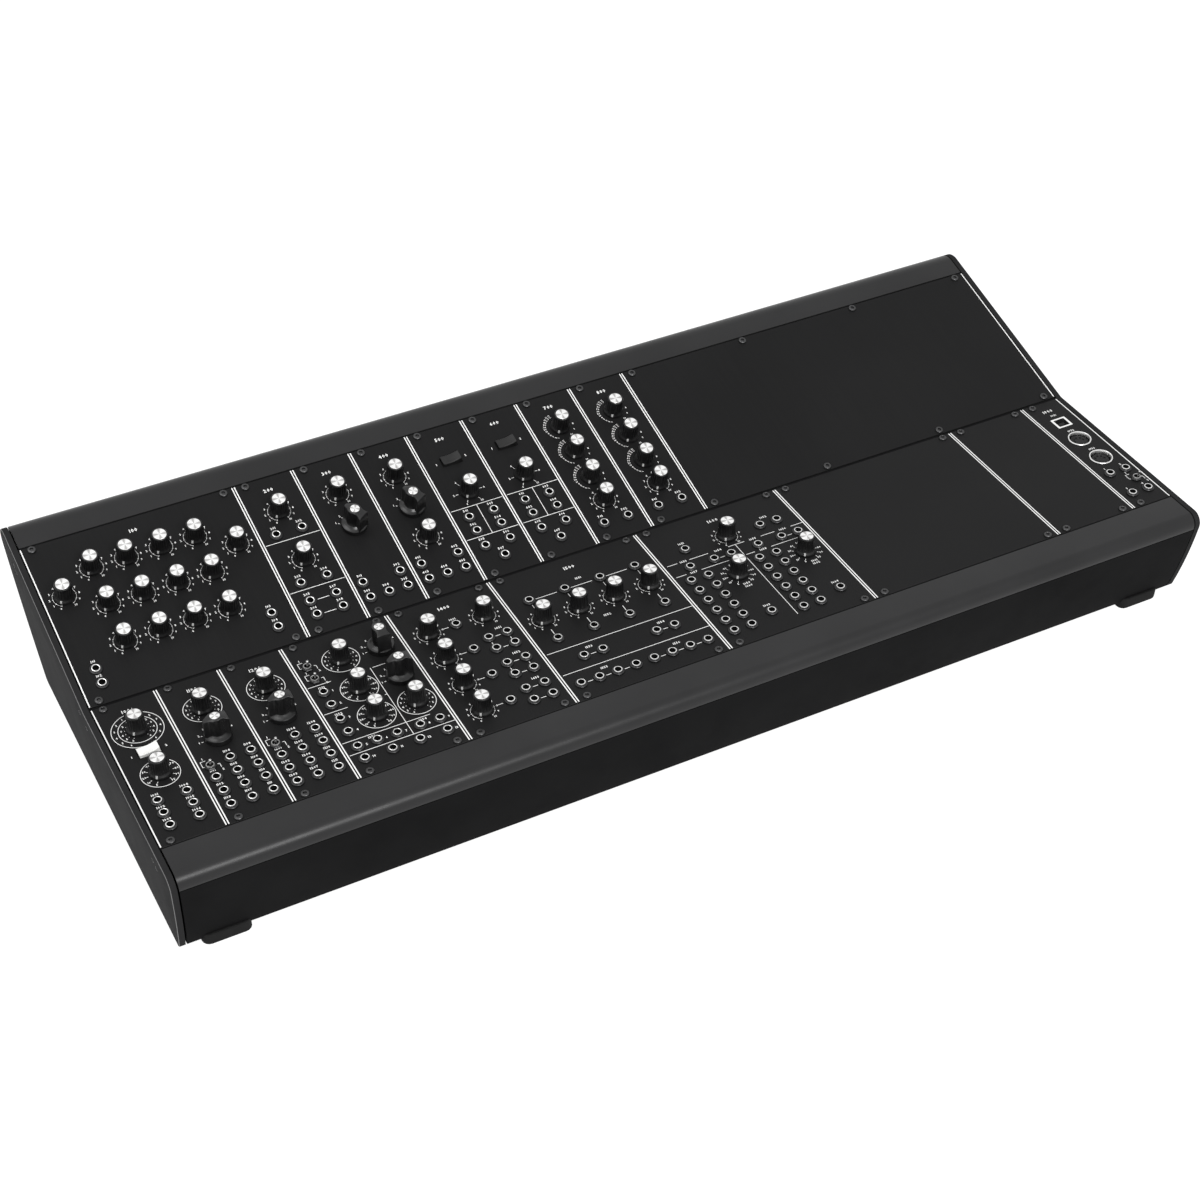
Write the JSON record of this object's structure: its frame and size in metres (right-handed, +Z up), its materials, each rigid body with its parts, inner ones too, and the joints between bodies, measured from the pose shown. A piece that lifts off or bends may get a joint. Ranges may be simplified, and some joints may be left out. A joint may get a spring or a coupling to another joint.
{
  "type": "modular synthesizer",
  "caption": "Two-row desktop modular synthesizer in a kinked charcoal case: black rack modules with knobs, rockers, toggles and patch jacks, and blank panels",
  "frame": {"origin": "on the surface that the object stands on, under the middle of its bounding box", "axes": "+X runs along the rows to the player's right, +Y goes from the player to the back, +Z is up"},
  "size_m": [0.7202, 0.3118, 0.1102],
  "materials": {
    "cheek": "satin charcoal powder coat",
    "tray": "satin charcoal powder coat on bent sheet",
    "extrusion": "satin black anodised extrusion",
    "board": "green circuit board",
    "socket_plastic": "black moulding with a metal inlet",
    "panel": "fine matt black coating with white print",
    "knob_plastic": "black, with a spun aluminium disc on top",
    "black_plastic": "satin black moulding",
    "white_plastic": "satin white moulding",
    "toggle_metal": "bright plated steel"
  },
  "bodies": {
    "case": {"left_cheek": "cheek", "right_cheek": "cheek", "base_tray": "tray", "front_nose": "extrusion", "rear_cover": "extrusion", "middle_rail": "extrusion", "bus_board": "board", "power_entry": "socket_plastic", "module_filter_bank": "panel", "module_filters": "panel", "module_high_pass_filter": "panel", "module_low_pass_filter": "panel", "module_amplifier_1": "panel", "module_amplifier_2": "panel", "module_envelope_1": "panel", "module_envelope_2": "panel", "module_oscillator_driver": "panel", "module_oscillator_1": "panel", "module_oscillator_2": "panel", "module_voltage_oscillator": "panel", "module_mixer": "panel", "module_attenuators": "panel", "module_interface": "panel", "module_midi": "panel", "blank_panel_upper": "panel", "blank_panel_lower_wide": "panel", "blank_panel_lower_narrow": "panel"},
    "knob_filter_bank_low": {"knob_filter_bank_low": "knob_plastic"},
    "knob_filters_upper": {"knob_filters_upper": "knob_plastic"},
    "knob_filters_lower": {"knob_filters_lower": "knob_plastic"},
    "knob_high_pass": {"knob_high_pass": "knob_plastic"},
    "knob_low_pass_upper": {"knob_low_pass_upper": "knob_plastic"},
    "knob_low_pass_lower": {"knob_low_pass_lower": "knob_plastic"},
    "knob_amplifier_1": {"knob_amplifier_1": "knob_plastic"},
    "knob_amplifier_2": {"knob_amplifier_2": "knob_plastic"},
    "knob_envelope_1_attack": {"knob_envelope_1_attack": "knob_plastic"},
    "knob_envelope_2_attack": {"knob_envelope_2_attack": "knob_plastic"},
    "knob_driver_frequency": {"knob_driver_frequency": "knob_plastic"},
    "knob_driver_width": {"knob_driver_width": "knob_plastic"},
    "knob_oscillator_1": {"knob_oscillator_1": "knob_plastic"},
    "knob_oscillator_2": {"knob_oscillator_2": "knob_plastic"},
    "knob_voltage_oscillator_pitch": {"knob_voltage_oscillator_pitch": "knob_plastic"},
    "knob_mixer_channel_1": {"knob_mixer_channel_1": "knob_plastic"},
    "knob_attenuator_1": {"knob_attenuator_1": "knob_plastic"},
    "knob_interface_level": {"knob_interface_level": "knob_plastic"},
    "selector_high_pass": {"selector_high_pass": "knob_plastic"},
    "selector_low_pass": {"selector_low_pass": "knob_plastic"},
    "selector_oscillator_1": {"selector_oscillator_1": "knob_plastic"},
    "selector_oscillator_2": {"selector_oscillator_2": "knob_plastic"},
    "selector_voltage_oscillator_range": {"selector_voltage_oscillator_range": "knob_plastic"},
    "selector_voltage_oscillator_wave": {"selector_voltage_oscillator_wave": "knob_plastic"},
    "rocker_amplifier_1": {"rocker_amplifier_1": "black_plastic"},
    "rocker_amplifier_2": {"rocker_amplifier_2": "black_plastic"},
    "rocker_driver_range": {"rocker_driver_range": "white_plastic"},
    "power_rocker": {"power_rocker": "black_plastic"},
    "toggle_oscillator_1": {"toggle_oscillator_1": "toggle_metal"},
    "toggle_oscillator_2": {"toggle_oscillator_2": "toggle_metal"},
    "toggle_voltage_oscillator_upper": {"toggle_voltage_oscillator_upper": "toggle_metal"},
    "toggle_voltage_oscillator_lower": {"toggle_voltage_oscillator_lower": "toggle_metal"},
    "toggle_midi": {"toggle_midi": "toggle_metal"}
  },
  "joints": [
    {"name": "knob_filter_bank_low_turn", "type": "hinge", "parent": "case", "child": "knob_filter_bank_low", "pos_m": [-0.34138, 0.08325, 0.09223], "axis": [0, -0.2588, 0.9659], "range_deg": [-290, 0]},
    {"name": "knob_filters_upper_turn", "type": "hinge", "parent": "case", "child": "knob_filters_upper", "pos_m": [-0.19304, 0.09795, 0.09617], "axis": [0, -0.2588, 0.9659], "range_deg": [-290, 0]},
    {"name": "knob_filters_lower_turn", "type": "hinge", "parent": "case", "child": "knob_filters_lower", "pos_m": [-0.19304, 0.05824, 0.08553], "axis": [0, -0.2588, 0.9659], "range_deg": [-290, 0]},
    {"name": "knob_high_pass_turn", "type": "hinge", "parent": "case", "child": "knob_high_pass", "pos_m": [-0.1524, 0.09795, 0.09617], "axis": [0, -0.2588, 0.9659], "range_deg": [-290, 0]},
    {"name": "knob_low_pass_upper_turn", "type": "hinge", "parent": "case", "child": "knob_low_pass_upper", "pos_m": [-0.11176, 0.09795, 0.09617], "axis": [0, -0.2588, 0.9659], "range_deg": [-290, 0]},
    {"name": "knob_low_pass_lower_turn", "type": "hinge", "parent": "case", "child": "knob_low_pass_lower", "pos_m": [-0.11176, 0.04632, 0.08234], "axis": [0, -0.2588, 0.9659], "range_deg": [-290, 0]},
    {"name": "knob_amplifier_1_turn", "type": "hinge", "parent": "case", "child": "knob_amplifier_1", "pos_m": [-0.07112, 0.07015, 0.08872], "axis": [0, -0.2588, 0.9659], "range_deg": [-290, 0]},
    {"name": "knob_amplifier_2_turn", "type": "hinge", "parent": "case", "child": "knob_amplifier_2", "pos_m": [-0.03048, 0.07015, 0.08872], "axis": [0, -0.2588, 0.9659], "range_deg": [-290, 0]},
    {"name": "knob_envelope_1_attack_turn", "type": "hinge", "parent": "case", "child": "knob_envelope_1_attack", "pos_m": [0.01016, 0.09783, 0.09614], "axis": [0, -0.2588, 0.9659], "range_deg": [-290, 0]},
    {"name": "knob_envelope_2_attack_turn", "type": "hinge", "parent": "case", "child": "knob_envelope_2_attack", "pos_m": [0.0508, 0.09783, 0.09614], "axis": [0, -0.2588, 0.9659], "range_deg": [-290, 0]},
    {"name": "knob_driver_frequency_turn", "type": "hinge", "parent": "case", "child": "knob_driver_frequency", "pos_m": [-0.33528, -0.02877, 0.07], "axis": [0, 0, 1], "range_deg": [-290, 0]},
    {"name": "knob_driver_width_turn", "type": "hinge", "parent": "case", "child": "knob_driver_width", "pos_m": [-0.33528, -0.07028, 0.07], "axis": [0, 0, 1], "range_deg": [-290, 0]},
    {"name": "knob_oscillator_1_turn", "type": "hinge", "parent": "case", "child": "knob_oscillator_1", "pos_m": [-0.29464, -0.0289, 0.07], "axis": [0, 0, 1], "range_deg": [-290, 0]},
    {"name": "knob_oscillator_2_turn", "type": "hinge", "parent": "case", "child": "knob_oscillator_2", "pos_m": [-0.254, -0.0289, 0.07], "axis": [0, 0, 1], "range_deg": [-290, 0]},
    {"name": "knob_voltage_oscillator_pitch_turn", "type": "hinge", "parent": "case", "child": "knob_voltage_oscillator_pitch", "pos_m": [-0.2036, -0.02582, 0.07], "axis": [0, 0, 1], "range_deg": [-290, 0]},
    {"name": "knob_mixer_channel_1_turn", "type": "hinge", "parent": "case", "child": "knob_mixer_channel_1", "pos_m": [-0.14556, -0.02884, 0.07], "axis": [0, 0, 1], "range_deg": [-290, 0]},
    {"name": "knob_attenuator_1_turn", "type": "hinge", "parent": "case", "child": "knob_attenuator_1", "pos_m": [-0.07587, -0.04946, 0.07], "axis": [0, 0, 1], "range_deg": [-290, 0]},
    {"name": "knob_interface_level_turn", "type": "hinge", "parent": "case", "child": "knob_interface_level", "pos_m": [0.06858, -0.0289, 0.07], "axis": [0, 0, 1], "range_deg": [-290, 0]},
    {"name": "selector_high_pass_turn", "type": "hinge", "parent": "case", "child": "selector_high_pass", "pos_m": [-0.1524, 0.07077, 0.08889], "axis": [0, -0.2588, 0.9659], "range_deg": [-60, 30]},
    {"name": "selector_low_pass_turn", "type": "hinge", "parent": "case", "child": "selector_low_pass", "pos_m": [-0.11176, 0.07077, 0.08889], "axis": [0, -0.2588, 0.9659], "range_deg": [-60, 30]},
    {"name": "selector_oscillator_1_turn", "type": "hinge", "parent": "case", "child": "selector_oscillator_1", "pos_m": [-0.29464, -0.05704, 0.07], "axis": [0, 0, 1], "range_deg": [-150, 0]},
    {"name": "selector_oscillator_2_turn", "type": "hinge", "parent": "case", "child": "selector_oscillator_2", "pos_m": [-0.254, -0.05704, 0.07], "axis": [0, 0, 1], "range_deg": [-150, 0]},
    {"name": "selector_voltage_oscillator_range_turn", "type": "hinge", "parent": "case", "child": "selector_voltage_oscillator_range", "pos_m": [-0.17728, -0.02723, 0.07], "axis": [0, 0, 1], "range_deg": [-60, 90]},
    {"name": "selector_voltage_oscillator_wave_turn", "type": "hinge", "parent": "case", "child": "selector_voltage_oscillator_wave", "pos_m": [-0.17728, -0.0573, 0.07], "axis": [0, 0, 1], "range_deg": [-150, 0]},
    {"name": "rocker_amplifier_1_tilt", "type": "hinge", "parent": "case", "child": "rocker_amplifier_1", "pos_m": [-0.07112, 0.09771, 0.09611], "axis": [0, 0.9659, 0.2588], "range_deg": [0, 16]},
    {"name": "rocker_amplifier_2_tilt", "type": "hinge", "parent": "case", "child": "rocker_amplifier_2", "pos_m": [-0.03048, 0.09771, 0.09611], "axis": [0, 0.9659, 0.2588], "range_deg": [0, 16]},
    {"name": "rocker_driver_range_tilt", "type": "hinge", "parent": "case", "child": "rocker_driver_range", "pos_m": [-0.33528, -0.04972, 0.07], "axis": [0, 1, 0], "range_deg": [0, 16]},
    {"name": "power_rocker_tilt", "type": "hinge", "parent": "case", "child": "power_rocker", "pos_m": [-0.2806, 0.14129, 0.05269], "axis": [0, -0.3837, -0.9234], "range_deg": [0, 16]},
    {"name": "toggle_oscillator_1_tilt", "type": "hinge", "parent": "case", "child": "toggle_oscillator_1", "pos_m": [-0.30756, -0.07914, 0.069], "axis": [1, 0, 0], "range_deg": [-24, 0]},
    {"name": "toggle_oscillator_2_tilt", "type": "hinge", "parent": "case", "child": "toggle_oscillator_2", "pos_m": [-0.26692, -0.07914, 0.069], "axis": [1, 0, 0], "range_deg": [-24, 0]},
    {"name": "toggle_voltage_oscillator_upper_tilt", "type": "hinge", "parent": "case", "child": "toggle_voltage_oscillator_upper", "pos_m": [-0.22507, -0.0244, 0.069], "axis": [1, 0, 0], "range_deg": [-24, 0]},
    {"name": "toggle_voltage_oscillator_lower_tilt", "type": "hinge", "parent": "case", "child": "toggle_voltage_oscillator_lower", "pos_m": [-0.22507, -0.03674, 0.069], "axis": [1, 0, 0], "range_deg": [-24, 0]},
    {"name": "toggle_midi_tilt", "type": "hinge", "parent": "case", "child": "toggle_midi", "pos_m": [0.34676, -0.10214, 0.069], "axis": [1, 0, 0], "range_deg": [-24, 0]}
  ]
}
